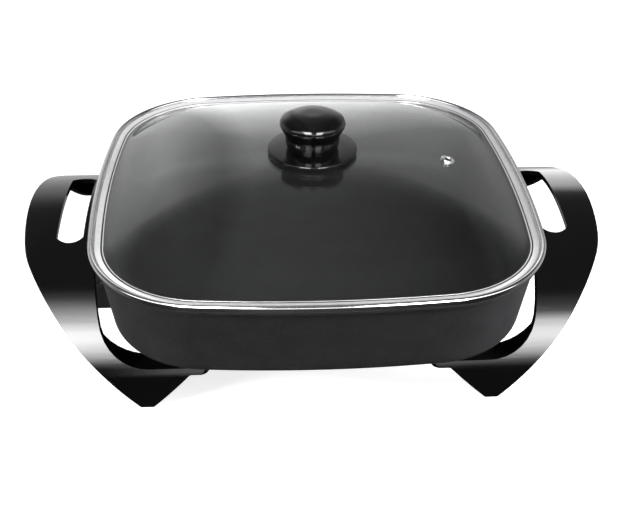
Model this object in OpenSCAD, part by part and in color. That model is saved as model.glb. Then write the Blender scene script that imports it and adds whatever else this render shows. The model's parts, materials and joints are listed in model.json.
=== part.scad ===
// Square electric skillet on four feet, with a lift-off domed glass lid.
// The origin is on the table under the middle of the pan. X runs right, Y to the back and Z up. Millimetres.
// One outline, four bowed sides joined by four round corners, is shared by the lid, the pan and the glass.

/* [Outline] */
// Half width of the lid at the middle of a side
half_width = 160; // [150:1:172]
// Bow of each side over its half length
side_bow = 15; // [10:0.5:20]
// Radius of the outline at its corners
corner_r = 82; // [76:1:92]

/* [Pan] */
// Height of the pan's lip above the table
lip_z = 98.5; // [94:0.5:110]
// Depth from the lip's top to the underside of the base
pan_depth = 60.5; // [56:0.5:64]
// Thickness of the pan's wall
wall_t = 3; // [2.5:0.1:4]
// Thickness of the pan's base
base_t = 4.5; // [3.5:0.1:6]
// Distance of the lip's edge inside the lid's edge
lip_inset = 2.5; // [2:0.1:3]
// Overhang of the lip past the wall
lip_overhang = 3; // [2:0.1:4]
// Thickness of the lip
lip_t = 3; // [2.5:0.1:4]
// How far the wall leans in from the lip to the base
wall_lean = 9.5; // [6:0.5:11]
// Radius of the outer edge of the base
base_edge_r = 12; // [8:0.5:14]

/* [Lid] */
// Gap between the lid and the pan's lip
lid_gap = 0.3; // [0.2:0.05:0.5]
// Thickness of the glass
glass_t = 3; // [2.6:0.1:4.5]
// Rise of the dome above its flat border
dome_rise = 27.5; // [18:0.5:32]
// Thickness of the steel band
band_t = 0.4; // [0.3:0.05:0.6]
// Width of the steel band, seen from above
band_w = 10.5; // [9:0.5:12]
// Radius of the roll along the band's outer edge
roll_r = 1.75; // [1.4:0.05:2.2]
// Width of the flat glass next to the band
border_w = 1.5; // [0.5:0.1:4]
// Distance of the vent from the middle of the lid
vent_x = 101; // [80:1:120]
// Radius of the vent's hole
vent_r = 2.6; // [2:0.1:3.5]
// Radius of the vent's flange
vent_flange_r = 5.2; // [4.6:0.1:7]

/* [Knob] */
// Radius of the knob's cap
knob_cap_r = 24; // [21:0.5:28]
// Radius of the knob where it stands on the guard
knob_waist_r = 18.3; // [15:0.1:19]
// Radius of the neck under the cap
knob_neck_r = 19.8; // [19.2:0.1:21]
// Height of the knob
knob_h = 27; // [24:0.5:32]
// Radius of the guard disc
guard_r = 33; // [30:0.5:38]
// Thickness of the guard disc
guard_t = 3; // [2.5:0.1:4]
// Radius of the steel washer under the glass
washer_r = 10; // [8:0.5:14]
// Thickness of the silicone washers
gasket_t = 1; // [0.8:0.1:1.5]
// Radius of the knob screw
knob_screw_r = 2.5; // [2:0.1:3]

/* [Handles] */
// Distance of the feet's faces inside the lid's edge, at the front and back
foot_setback = 33; // [28:1:38]
// Height of the grip's crest below the pan's lip
crest_drop = 8.5; // [6:0.5:12]
// Radius of the arch at its haunches
haunch_r = 70; // [66:1:76]
// Thickness of the handle's skin
skin_t = 4; // [3:0.1:5]
// Distance of a foot's middle inside the lid's edge, at the sides
foot_inset = 41.3; // [38:0.1:46]
// Width of a foot's flat
foot_w = 8.5; // [6:0.5:12]
// Reach of the grip's outer edge past the lid's edge
grip_reach = 50; // [46:0.5:56]
// Width of the finger hole
finger_hole_w = 18.8; // [16:0.1:20]
// Length of the finger hole
finger_hole_l = 94; // [88:1:100]
// Width of the bar between the finger hole and the pan
inner_bar_w = 7.5; // [6:0.5:8.5]
// Half width of the side opening under the grip
side_opening_y = 57; // [55:1:62]
// Depth of the side wall at the feet
side_wall_w = 22; // [18:1:28]
// Depth of the turned-in edge next to the pan
return_w = 23; // [18:1:28]
// Distance of the tongue's root inside the lid's edge
tongue_inset = 71; // [66:1:76]
// Length of the tongue that the leg is screwed by
tongue_l = 14; // [12:0.5:18]
// Thickness of the tongue and of the turned-in edge that it ends
tongue_t = 4.5; // [3.5:0.1:5.5]
// Height of the pan's bosses for the handles
boss_h = 10; // [8:0.5:12]
// Radius of the pan's bosses for the handles
boss_r = 6; // [5:0.1:7]
// Radius of the handle screws
screw_r = 2; // [1.6:0.1:2.4]

/* [Heating] */
// Radius of the heating element's tube
tube_r = 4; // [3:0.1:4.5]
// Distance of the element's loop inside the lid's edge
loop_inset = 68; // [64:1:76]
// Radius of the loop's corners
loop_r = 26; // [20:1:32]
// Depth of the element's axis below the base
element_drop = 7; // [6:0.1:8]
// Width of the rib that holds the element
rib_w = 14; // [12:0.5:16]
// Half distance between the two contact pins
pin_y = 18; // [16:0.5:19]
// Radius of the contact pins
pin_r = 2.4; // [2:0.05:2.6]
// Radius of the thermostat's probe hole
probe_r = 4; // [3:0.1:4.5]
// Depth of the probe hole
probe_l = 34; // [28:1:36]

/* [Inlet housing] */
// Width of the housing
housing_w = 70; // [64:1:74]
// Height of the housing
housing_h = 22.5; // [20:0.5:24]
// Distance of the housing's mouth past the lid's edge
housing_reach = 9; // [2:0.5:12]
// Distance of the contact pins' tips inside the mouth
pin_recess = 12; // [8:0.5:16]
// Wall of the housing
housing_wall = 2.5; // [2:0.1:3]

/* [Hidden] */
$fn = 96;

// Gap between pieces that are pushed together by hand
slip = 0.05;
// Room round a screw in a hole without a thread
screw_play = 0.3;
// A length that reaches past anything that is cut
far = 400;

// --- Shared outline --------------------------------------------------------------------------------------------

// Radius of a side's bow, and how far its centre lies beyond the middle
bow_r = (half_width * half_width + side_bow * side_bow) / (2 * side_bow);
bow_back = bow_r - half_width;
// Centre of a corner's arc, on the diagonal, where the arc meets the bows without a kink
corner_c = (sqrt(2 * pow(bow_r - corner_r, 2) - bow_back * bow_back) - bow_back) / 2;
// Half angle of a side's bow
join_a = atan(corner_c / (corner_c + bow_back));

// A point of the outline, moved in by inset, where its normal has the angle phi
function outline_point(phi, inset) =
    let (quarter = floor((phi + join_a) / 90),
         a = phi - 90 * quarter,
         p = a <= join_a ? [(bow_r - inset) * cos(a) - bow_back, (bow_r - inset) * sin(a)]
                         : [corner_c + (corner_r - inset) * cos(a), corner_c + (corner_r - inset) * sin(a)],
         turn = 90 * quarter)
    [p[0] * cos(turn) - p[1] * sin(turn), p[0] * sin(turn) + p[1] * cos(turn)];

// The whole outline, with a few points on each bow and more round each corner
bow_steps = 4;
corner_steps = 12;
outline_angles = [for (q = [0:3]) each concat(
    [for (i = [0:bow_steps - 1]) 90 * q - join_a + 2 * join_a * i / bow_steps],
    [for (i = [0:corner_steps - 1]) 90 * q + join_a + (90 - 2 * join_a) * i / corner_steps])];
function outline(inset) = [for (a = outline_angles) outline_point(a, inset)];

// The rings that a profile makes round the outline. A profile point is [distance outside the outline, height].
function rings_of(profile) =
    [for (p = profile) [for (q = outline(-p[0])) [q[0], q[1], p[1]]]];

// The side faces between ring k and the next one, where n points make a ring
function band_faces(k, next, n) = [for (i = [0:n - 1])
    let (j = (i + 1) % n, a = k * n + i, b = k * n + j, c = next * n + i, d = next * n + j)
    each [[a, c, b], [b, c, d]]];

// A closed solid through rings, with flat first and last rings
module through_rings(rings) {
    n = len(rings[0]);
    m = len(rings);
    first_cap = [for (i = [0:n - 1]) i];
    last_cap = [for (i = [n - 1:-1:0]) (m - 1) * n + i];
    polyhedron(points = [for (r = rings) each r],
               faces = concat([first_cap, last_cap], [for (k = [0:m - 2]) each band_faces(k, k + 1, n)]));
}

// A closed solid through rings whose last one is followed by the first
module round_and_back(rings) {
    n = len(rings[0]);
    m = len(rings);
    polyhedron(points = [for (r = rings) each r],
               faces = [for (k = [0:m - 1]) each band_faces(k, (k + 1) % m, n)]);
}

// --- Rounded polygons ------------------------------------------------------------------------------------------

function unit(v) = v / norm(v);
function turn_of(a, b) = a[0] * b[1] - a[1] * b[0];

// Where the arc of radius r in the corner at point i starts and ends: [start, corner, end, centre, is convex]
function corner_arc(points, radii, i) =
    let (n = len(points), p = points[i],
         back = unit(points[(i + n - 1) % n] - p),
         ahead = unit(points[(i + 1) % n] - p),
         half = acos(back * ahead) / 2,
         reach = radii[i] / tan(half))
    [p + back * reach, p, p + ahead * reach, p + unit(back + ahead) * radii[i] / sin(half), turn_of(-back, ahead) > 0];

// The sliver between a corner's arc and its chord
module arc_sliver(c) {
    intersection() {
        translate(c[3]) circle(r = norm(c[0] - c[3]));
        polygon([c[0], c[1], c[2]]);
    }
}

// A polygon, its points given counter-clockwise, with a true arc of its own radius in each corner
module rounded(points, radii) {
    arcs = [for (i = [0:len(points) - 1]) corner_arc(points, radii, i)];
    round_arcs = [for (i = [0:len(points) - 1]) if (radii[i] > 0) arcs[i]];
    difference() {
        union() {
            polygon([for (i = [0:len(points) - 1]) each radii[i] > 0 ? [arcs[i][0], arcs[i][2]] : [points[i]]]);
            for (c = round_arcs) if (c[4]) arc_sliver(c);
        }
        for (c = round_arcs) if (!c[4]) arc_sliver(c);
    }
}

// The points of the same outline, with steps flats in each round corner, for a profile that is swept
function rounded_points(points, radii, steps) = [for (i = [0:len(points) - 1]) each
    radii[i] <= 0 ? [points[i]] :
    let (c = corner_arc(points, radii, i), from = c[0] - c[3], to = c[2] - c[3],
         a0 = atan2(from[1], from[0]), turn = atan2(turn_of(from, to), from * to))
    [for (k = [0:steps]) c[3] + radii[i] * [cos(a0 + turn * k / steps), sin(a0 + turn * k / steps)]]];

// The same polygon with every side moved in by d, for the inside of a wall
function moved_in(points, d) =
    [for (i = [0:len(points) - 1])
        let (n = len(points), p = points[i],
             into = unit(p - points[(i + n - 1) % n]),
             out = unit(points[(i + 1) % n] - p),
             left_in = [-into[1], into[0]],
             left_out = [-out[1], out[0]])
        p + d * (left_in + left_out) / (1 + left_in * left_out)];

// --- Pan -------------------------------------------------------------------------------------------------------

base_z = lip_z - pan_depth;
floor_z = base_z + base_t;
wall_inset = lip_inset + lip_overhang;
base_inset = wall_inset + wall_lean;
inner_edge_r = base_edge_r + wall_t;
// Reach of the base's curved edge, in from the outline
edge_reach = base_inset + inner_edge_r;
element_z = base_z - element_drop;
boss_z = base_z - boss_h;
// Where the leg's V ends and the tongue carries it on, and the screw in the tongue
tongue_x = half_width - tongue_inset;
screw_x = tongue_x - tongue_l / 2;
screw_y = half_width - foot_setback - skin_t - (return_w - skin_t) / 2;

// From the middle of the base's underside, out and up the wall, over the lip and down inside to the floor
module pan_shell() {
    middle = -edge_reach - 10;
    edge_round = 0.8;
    inner_round = 1.5;
    lip_edge = -lip_inset;
    wall_top = -wall_inset;
    wall_foot = -base_inset;
    under = rounded_points([[middle, base_z], [wall_foot, base_z], [wall_top, lip_z - lip_t],
                            [lip_edge, lip_z - lip_t], [lip_edge, lip_z], [wall_top - wall_t, lip_z],
                            [wall_foot - wall_t, floor_z], [middle, floor_z]],
                           [0, base_edge_r, 0, edge_round, edge_round, inner_round, inner_edge_r, 0], 4);
    through_rings(rings_of(under));
}

module rounded_square(half, r) {
    square([2 * half, 2 * (half - r)], center = true);
    square([2 * (half - r), 2 * half], center = true);
    for (x = [-1, 1], y = [-1, 1]) translate([x * (half - r), y * (half - r)]) circle(r = r);
}

// Half width of the element's loop, and of the gap in it where its ends turn out to the left
loop_half = half_width - loop_inset;
end_bend_r = 14;
end_l = 10;
loop_gap = pin_y + end_bend_r;
element_end_x = loop_half + end_bend_r + end_l;

// The element's path, from one end round the loop to the other, as a tube of radius r
module element_tube(r) {
    straight = loop_half - loop_r;
    translate([0, 0, element_z]) {
        for (q = [0:3]) rotate(90 * q) translate([straight, straight, 0])
            rotate_extrude(angle = 90) translate([loop_r, 0]) circle(r = r);
        for (q = [-1:1]) rotate(90 * q) translate([loop_half, 0, 0])
            rotate([90, 0, 0]) cylinder(h = 2 * straight, r = r, center = true);
        for (s = [-1, 1]) {
            translate([-loop_half, s * (loop_gap + straight) / 2, 0])
                rotate([90, 0, 0]) cylinder(h = straight - loop_gap, r = r, center = true);
            translate([-loop_half - end_bend_r, s * loop_gap, 0]) rotate(s > 0 ? 270 : 0)
                rotate_extrude(angle = 90) translate([end_bend_r, 0]) circle(r = r);
            translate([-element_end_x, s * pin_y, 0])
                rotate([0, 90, 0]) cylinder(h = end_l, r = r);
        }
    }
}

module element_rib() {
    translate([0, 0, element_z]) linear_extrude(base_z - element_z + 1) difference() {
        rounded_square(loop_half + rib_w / 2, loop_r + rib_w / 2);
        rounded_square(loop_half - rib_w / 2, loop_r - rib_w / 2);
        translate([-far, -loop_gap]) square([far, 2 * loop_gap]);
    }
}

// Block under the base that the thermostat's probe goes into
block_w = 16;
block_x = half_width - base_inset - base_edge_r - 2;
module probe_block() {
    translate([-block_x, -block_w / 2, element_z - block_w / 2])
        cube([probe_l + 6, block_w, base_z - element_z + block_w / 2 + 1]);
}

module at_handle_screws() {
    for (x = [-1, 1], y = [-1, 1]) translate([x * screw_x, y * screw_y, 0]) children();
}

module pan_body() {
    color("#3c3c3e") difference() {
        union() {
            pan_shell();
            element_rib();
            probe_block();
            at_handle_screws() translate([0, 0, boss_z]) cylinder(h = boss_h + 1, r = boss_r);
            at_housing_screws() translate([0, 0, ear_z]) cylinder(h = base_z - ear_z + 1, r = ear_boss_r);
        }
        element_tube(tube_r + slip);
        translate([-block_x - 1, 0, element_z]) rotate([0, 90, 0]) cylinder(h = probe_l + 1, r = probe_r);
        at_handle_screws() translate([0, 0, boss_z - 1]) cylinder(h = thread_l + 1, r = screw_r + slip);
        at_housing_screws() translate([0, 0, ear_z - 1]) cylinder(h = housing_thread_l + 1, r = screw_r + slip);
        translate([earth_x, earth_y, base_z - 1]) cylinder(h = earth_thread_l + 1, r = screw_r + slip);
    }
}

// --- Heating and inlet -----------------------------------------------------------------------------------------

module heating_element() {
    color("#8b8d90") element_tube(tube_r);
}

bush_r = 4.6;
bush_l = 12;
housing_back_x = element_end_x - 2;
housing_mouth_x = half_width + housing_reach;
housing_l = housing_mouth_x - housing_back_x;
pin_tip_x = housing_mouth_x - pin_recess;

module at_pins() {
    for (s = [-1, 1]) translate([0, s * pin_y, element_z]) children();
}

// Each pin has a thin neck that comes out of the element through its bush, and stands free in the housing
neck_r = 1.5;
pin_start_x = element_end_x + bush_l + 0.1;
module terminal_pins() {
    color("#c9c6bd") at_pins() {
        translate([-pin_tip_x + pin_r, 0, 0]) rotate([0, 90, 0])
            cylinder(h = pin_tip_x - pin_r - pin_start_x, r = pin_r);
        translate([-pin_tip_x + pin_r, 0, 0]) sphere(r = pin_r);
        translate([-pin_start_x, 0, 0]) rotate([0, 90, 0]) cylinder(h = pin_start_x - element_end_x, r = neck_r);
    }
}

module pin_insulators() {
    color("#e8e4da") at_pins() translate([-element_end_x - bush_l, 0, 0]) rotate([0, 90, 0]) difference() {
        cylinder(h = bush_l, r = bush_r);
        translate([0, 0, -1]) cylinder(h = bush_l + 2, r = neck_r + slip);
    }
}

// Ears beside the housing, with a boss of the pan above each
ear_z = base_z - 4;
ear_t = 4;
ear_r = 6;
ear_boss_r = 5;
ear_x = block_x - 4;
ear_y = housing_w / 2 + 5;
housing_thread_l = base_z - ear_z + 3;
module at_housing_screws() {
    for (s = [-1, 1]) translate([-ear_x, s * ear_y, 0]) children();
}

// The earth strip: a pad under the base behind the element's ends, and a blade along the housing's wall
earth_t = 1;
earth_pad = 12;
earth_y = -housing_w / 2 + earth_pad;
earth_blade_y = -housing_w / 2 + housing_wall + 1.5;
earth_x = -element_end_x + end_l;
earth_recess = 10;
earth_thread_l = 3;
earth_blade_h = 10;

// An open-ended box round the pins, with a back wall that the bushes, probe and earth blade pass through
module inlet_housing() {
    bottom = base_z - housing_h;
    wall = housing_wall;
    color("#2a2a2b") difference() {
        union() {
            translate([-housing_mouth_x, 0, bottom]) rotate([90, 0, 90]) linear_extrude(housing_l)
                rounded([[-housing_w / 2, 0], [housing_w / 2, 0], [housing_w / 2, housing_h],
                         [-housing_w / 2, housing_h]], [5, 5, 1, 1]);
            at_housing_screws() translate([0, 0, ear_z - ear_t]) cylinder(h = ear_t, r = ear_r);
            for (s = [-1, 1]) translate([-ear_x - ear_r, s > 0 ? housing_w / 2 - 1 : -ear_y, ear_z - ear_t])
                cube([2 * ear_r, ear_y - housing_w / 2 + 1, ear_t]);
        }
        translate([-housing_mouth_x - 1, 0, bottom]) rotate([90, 0, 90]) linear_extrude(housing_l - wall + 1)
            rounded([[-housing_w / 2 + wall, wall], [housing_w / 2 - wall, wall],
                     [housing_w / 2 - wall, housing_h - wall], [-housing_w / 2 + wall, housing_h - wall]],
                    [3, 3, 1, 1]);
        at_pins() translate([-far, 0, 0]) rotate([0, 90, 0]) cylinder(h = far, r = bush_r + slip);
        translate([-block_x - slip, -block_w / 2 - slip, element_z - block_w / 2 - slip])
            cube([far, block_w + 2 * slip, far]);
        translate([-far, earth_blade_y - earth_t / 2 - slip, base_z - earth_blade_h - slip])
            cube([far, earth_t + 2 * slip, earth_blade_h + 1]);
        at_housing_screws() translate([0, 0, ear_z - ear_t - 1]) cylinder(h = ear_t + 2, r = screw_r + screw_play);
    }
}

// A screw with a domed head, its head's seat at z = 0 and its thread going up
module round_screw(r, l, head_r, head_h) {
    cylinder(h = l, r = r);
    translate([0, 0, -head_h]) rotate_extrude() intersection() {
        square([head_r, head_h]);
        translate([0, head_r * 1.3]) circle(r = head_r * 1.3);
    }
}

module housing_screws() {
    color("#b9bbbe") at_housing_screws() translate([0, 0, ear_z - ear_t])
        round_screw(screw_r, ear_t + housing_thread_l - 0.5, 3.6, 2.4);
}

// A foot under the base and an upright blade that runs out into the housing
module earth_blade() {
    blade_end = -housing_mouth_x + earth_recess;
    pad_end = earth_x + earth_pad / 2;
    color("#b9bbbe") difference() {
        union() {
            translate([earth_x - earth_pad / 2, earth_blade_y - earth_t / 2, base_z - earth_t])
                cube([earth_pad, earth_y - earth_blade_y + earth_pad / 2, earth_t]);
            translate([blade_end, earth_blade_y - earth_t / 2, base_z - earth_blade_h])
                cube([pad_end - blade_end, earth_t, earth_blade_h]);
        }
        translate([earth_x, earth_y, base_z - 5]) cylinder(h = 10, r = screw_r + screw_play);
    }
}

module earth_screw() {
    color("#b9bbbe") translate([earth_x, earth_y, base_z - earth_t])
        round_screw(screw_r, earth_t + earth_thread_l - 0.5, 3.6, 2.2);
}

// --- Handles ---------------------------------------------------------------------------------------------------

foot_y = half_width - foot_setback;
crest_z = lip_z - crest_drop;
// The arch, seen from the side: upright at the feet, then a haunch arc, then a flatter crown arc
haunch_y = foot_y - haunch_r;
crown_r = (haunch_y * haunch_y + crest_z * crest_z - haunch_r * haunch_r) / (2 * (crest_z - haunch_r));
crown_dir = unit([haunch_y, crown_r - crest_z]);
// The sides that the arcs touch: the line between haunch and crown stands square to crown_dir
line_d = crown_r + crown_dir[1] * (crest_z - crown_r);
arch_points = [[-foot_y, -20], [foot_y, -20], [foot_y, (line_d - crown_dir[0] * foot_y) / crown_dir[1]],
               [0, line_d / crown_dir[1]], [-foot_y, (line_d - crown_dir[0] * foot_y) / crown_dir[1]]];
// The arcs are a little tighter than they could be, so that a short straight piece lies between them
arch_ease = 0.98;

// The space under the arch, with its edge moved in by d
module arch_face(d) {
    rounded(moved_in(arch_points, d),
            [0, 0, haunch_r * arch_ease - d, crown_r * arch_ease - d, haunch_r * arch_ease - d]);
}

// Lays a side view, drawn as [y, z], along X, and a front view, drawn as [x, z], along Y
module side_view(x0, x1) {
    translate([x0, 0, 0]) rotate([90, 0, 90]) linear_extrude(x1 - x0) children();
}
module front_view(y0, y1) {
    translate([0, y1, 0]) rotate([90, 0, 0]) linear_extrude(y1 - y0) children();
}

foot_x = half_width - foot_inset;
foot_in = foot_x - foot_w / 2;
foot_out = foot_x + foot_w / 2;
grip_x = half_width + grip_reach;
knee = [grip_x - 35, crest_z - 38];
knee_r = 600;
shoulder = [grip_x - 5.5, crest_z - 9.5];
shoulder_r = 28;
foot_edge_r = 1.5;
top_z = crest_z + 4;
bar_x = half_width - lip_inset + 0.5;
hole_x = bar_x + inner_bar_w;
leg_foot = [half_width - 15.5, boss_z];
leg_head = [bar_x, crest_z - 6];
leg_r = 36;
tongue_end = tongue_x - tongue_l;

// The front view of the right handle, anticlockwise from the foot's inner corner
module handle_front() {
    polygon(rounded_points(
        [[foot_in, 0], [foot_out, 0], knee, shoulder, [grip_x + 0.5, top_z], [bar_x, top_z], leg_head,
         leg_foot, [tongue_end, boss_z], [tongue_end, boss_z - tongue_t], [tongue_x, boss_z - tongue_t]],
        [foot_edge_r, foot_edge_r, knee_r, shoulder_r, 0, 0, 0, leg_r, tongue_t * 0.15, tongue_t * 0.8, 3], 8));
}

// The turned-in edge and the tongue, seen from the front: a strip that follows the leg's inner edge
module leg_strip() {
    up = unit(leg_head - leg_foot);
    low_corner = leg_foot + tongue_t * [(1 - up[0]) / up[1], -1];
    head_corner = leg_head + tongue_t * [1 / up[1], 0];
    polygon(rounded_points([[tongue_end, boss_z - tongue_t], low_corner, head_corner, leg_head, leg_foot,
                            [tongue_end, boss_z]],
                           [tongue_t * 0.8, leg_r + tongue_t, 0, 0, leg_r, tongue_t * 0.15], 8));
}

// A strip along the leg's outer edge, seen from the front
module outer_strip() {
    wide = skin_t * 1.4;
    difference() {
        handle_front();
        translate([-wide, 0]) polygon(rounded_points(
            [[foot_in, -1], [foot_out - 1, -1], knee, shoulder, [grip_x + 1, top_z + 2], [0, top_z + 2], [0, -1]],
            [0, 0, knee_r, shoulder_r, 0, 0, 0], 8));
    }
}

// The leg's side wall, seen from the side, stops at an opening that widens below the grip
module side_opening() {
    shin_z = crest_z - 52;
    knee_z = crest_z - 28;
    gap = foot_y - side_wall_w;
    rounded([[-gap, -10], [gap, -10], [gap, shin_z], [side_opening_y, knee_z], [side_opening_y, far],
             [-side_opening_y, far], [-side_opening_y, knee_z], [-gap, shin_z]],
            [0, 0, 18, 22, 0, 0, 22, 18]);
}

// A slot with shallow round ends, whose circles are a little wider than the slot
module finger_hole() {
    end_r = 11;
    end_y = finger_hole_l / 2 - end_r;
    overlap = 2;
    margin = 5;
    translate([hole_x, 0, crest_z - 30]) linear_extrude(60) intersection() {
        translate([0, -finger_hole_l]) square([finger_hole_w, 2 * finger_hole_l]);
        union() {
            translate([-margin, -end_y - overlap]) square([finger_hole_w + 2 * margin, 2 * (end_y + overlap)]);
            for (s = [-1, 1]) translate([finger_hole_w / 2, s * end_y]) circle(r = end_r);
        }
    }
}

// What is cut off the corners of the tongue, so that its free end is round seen from above
return_y = foot_y - return_w;
module tongue_corners() {
    corner = 9;
    side = screw_y - return_y + 0.4;
    tip = tongue_end - 0.3;
    translate([0, 0, boss_z - tongue_t - 1]) linear_extrude(tongue_t + 2)
        for (s = [-1, 1]) translate([0, s * screw_y]) difference() {
            translate([tip - 1, -side - 1]) square([corner + 1, 2 * side + 2]);
            polygon(rounded_points([[tip, -side], [tongue_x, -side], [tongue_x, side], [tip, side]],
                                   [corner, 0, 0, corner], 5));
        }
}

module right_handle_shape() {
    difference() {
        union() {
            // Skin
            intersection() {
                front_view(-far, far) handle_front();
                side_view(0, far) difference() {
                    arch_face(0);
                    arch_face(skin_t);
                }
            }
            // Side wall along the outer edge
            intersection() {
                front_view(-far, far) outer_strip();
                side_view(0, far) difference() {
                    arch_face(0);
                    side_opening();
                }
            }
            // Turned-in edge next to the pan, and the tongue that carries it on
            intersection() {
                front_view(-far, far) leg_strip();
                side_view(0, far) difference() {
                    arch_face(0);
                    translate([-return_y, -50]) square([2 * return_y, far]);
                }
            }
        }
        finger_hole();
        tongue_corners();
        for (s = [-1, 1]) translate([screw_x, s * screw_y, boss_z - tongue_t - 1])
            cylinder(h = tongue_t + 2, r = screw_r + screw_play);
    }
}

module right_handle() {
    color("#111112") right_handle_shape();
}

module left_handle() {
    color("#111112") mirror([1, 0, 0]) right_handle_shape();
}

washer_t = 1;
thread_l = boss_h - 1;
module handle_washers() {
    color("#c4c6c9") at_handle_screws() translate([0, 0, boss_z - tongue_t - washer_t]) difference() {
        cylinder(h = washer_t, r = screw_r + 2.8);
        translate([0, 0, -1]) cylinder(h = washer_t + 2, r = screw_r + screw_play);
    }
}

module handle_screws() {
    color("#c4c6c9") at_handle_screws() translate([0, 0, boss_z - tongue_t - washer_t])
        round_screw(screw_r, washer_t + tongue_t + thread_l - 0.5, screw_r + 2, 2.6);
}

// --- Lid -------------------------------------------------------------------------------------------------------

band_bottom = lip_z + lid_gap;
glass_edge_z = band_bottom + band_t;
glass_top_z = glass_edge_z + glass_t;
glass_inset = roll_r + band_t + slip;
// Share of the way out from the middle at which the flat border starts
border_share = (half_width - band_w - border_w) / (half_width - glass_inset);
dome_power = 2.6;
ring_shares = [1, border_share, 0.89, 0.83, 0.75, 0.65, 0.53, 0.4, 0.28, 0.2];
flat_share = ring_shares[len(ring_shares) - 1];

// Height of the dome above the flat border at a share of the way out
function dome(share) = let (s = min(share / border_share, 1)) dome_rise * (1 - pow(s, dome_power));
apex_z = glass_top_z + dome(flat_share);

module lid_glass() {
    edge = outline(glass_inset);
    count = len(ring_shares) - 1;
    under = [for (k = [count:-1:0]) [for (p = edge) [p[0] * ring_shares[k], p[1] * ring_shares[k],
                                                     glass_edge_z + dome(ring_shares[k])]]];
    over = [for (k = [0:count]) [for (p = edge) [p[0] * ring_shares[k], p[1] * ring_shares[k],
                                                 glass_top_z + dome(ring_shares[k])]]];
    color("#9fa3a6", 0.4) difference() {
        through_rings(concat(under, over));
        translate([0, 0, apex_z - 20]) cylinder(h = 40, r = knob_screw_r + 1.2);
        at_vent() translate([0, 0, -10]) cylinder(h = 20, r = vent_r + vent_wall + slip);
    }
}

// A U round the edge of the glass, with a roll along its outer edge and a small bead along its inner edge
module lid_rim() {
    top = glass_top_z + band_t;
    slot_end = -roll_r - band_t;
    bead_w = 1.1;
    bead_slope = 0.4;
    bead_top = top + 0.35;
    // The roll stands a little lower in the middle than the band's top, which it meets on its inner side
    roll_sink = 0.2;
    roll_steps = 10;
    roll_turn = 270 - asin(roll_sink);
    roll = [for (i = [0:roll_steps]) let (a = -90 + roll_turn * i / roll_steps)
        [-roll_r + roll_r * cos(a), top + roll_r * (sin(a) - roll_sink)]];
    color("#d5d7d9") round_and_back(rings_of(concat(
        [[-band_w, band_bottom], [-roll_r, band_bottom]], roll,
        [[-band_w + bead_w + bead_slope, top], [-band_w + bead_w, bead_top], [-band_w, bead_top],
         [-band_w, glass_top_z], [slot_end, glass_top_z], [slot_end, glass_edge_z], [-band_w, glass_edge_z]])));
}

// The vent stands square to the dome, halfway between the knob and the right edge
vent_wall = 0.6;
vent_share = vent_x / (half_width - glass_inset);
vent_slope = atan(dome_rise * dome_power * pow(vent_share / border_share, dome_power - 1)
                  / (border_share * (half_width - glass_inset)));
module at_vent() {
    translate([vent_x, 0, glass_top_z + dome(vent_share)]) rotate([0, vent_slope, 0]) children();
}

module steam_vent() {
    above = 1.2;
    color("#cfd1d3") at_vent() rotate_extrude() {
        translate([vent_r, -glass_t - above]) square([vent_wall, glass_t + 2 * above]);
        for (y = [0.25, -glass_t - above]) translate([vent_r, y]) square([vent_flange_r - vent_r, above - 0.25]);
    }
}

gasket_r = 16;
guard_z = apex_z + gasket_t;
knob_z = guard_z + guard_t;
under_apex_z = apex_z - glass_t;
lower_washer_t = 1.5;
screw_seat = under_apex_z - gasket_t - lower_washer_t;

// A round washer with room for the knob screw
module round_washer(r, t) {
    difference() {
        cylinder(h = t, r = r);
        translate([0, 0, -1]) cylinder(h = t + 2, r = knob_screw_r + screw_play);
    }
}

module knob_gasket() {
    color("#1c1c1c") translate([0, 0, apex_z]) round_washer(gasket_r, gasket_t);
}

module lower_gasket() {
    color("#1c1c1c") translate([0, 0, under_apex_z - gasket_t]) round_washer(washer_r - 0.5, gasket_t);
}

module lower_washer() {
    color("#c4c6c9") translate([0, 0, screw_seat]) round_washer(washer_r, lower_washer_t);
}

module knob_guard() {
    color("#141415") translate([0, 0, guard_z]) rotate_extrude() difference() {
        rounded([[0, 0], [guard_r - 2, 0], [guard_r, 1.2], [guard_r, guard_t - 0.4], [knob_waist_r + 3, guard_t],
                 [0, guard_t]], [0, 2, 0.8, 1, 0, 0]);
        translate([0, -1]) square([knob_screw_r + screw_play, guard_t + 2]);
    }
}

insert_r = 4;
insert_l = 14;
module knob() {
    // The corners between the sides of the knob's outline, which its arcs then round
    foot = [knob_waist_r, 0];
    neck_low = [knob_neck_r, knob_h * 0.19];
    neck_high = [knob_neck_r, knob_h * 0.37];
    brim = [knob_cap_r + 1.45, knob_h * 0.775];
    crown_side = [knob_cap_r * 0.71, knob_h * 0.952];
    crown_top = [knob_cap_r * 0.355, knob_h];
    color("#141415") translate([0, 0, knob_z]) rotate_extrude() difference() {
        rounded([[0, 0], foot, neck_low, neck_high, brim, crown_side, crown_top, [0, knob_h]],
                [0, 0.6, 8, 6, 4.4, 22, 45, 0]);
        translate([0, -1]) square([insert_r + slip, insert_l + 1]);
    }
}

module knob_insert() {
    color("#b5904a") translate([0, 0, knob_z]) difference() {
        cylinder(h = insert_l, r = insert_r);
        translate([0, 0, -1]) cylinder(h = insert_l - 1, r = knob_screw_r + slip);
    }
}

module knob_screw() {
    color("#c4c6c9") translate([0, 0, screw_seat])
        round_screw(knob_screw_r, knob_z + insert_l - 4 - screw_seat, 4.8, 3);
}

// --- Assembly --------------------------------------------------------------------------------------------------

pan_body();
heating_element();
terminal_pins();
pin_insulators();
earth_blade();
earth_screw();
inlet_housing();
housing_screws();
left_handle();
right_handle();
handle_screws();
handle_washers();
lid_glass();
lid_rim();
steam_vent();
knob();
knob_insert();
knob_guard();
knob_gasket();
lower_washer();
lower_gasket();
knob_screw();
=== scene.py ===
import json
from math import acos, atan, atan2, cos, floor, hypot, pi, radians, sin, sqrt, tan

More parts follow.
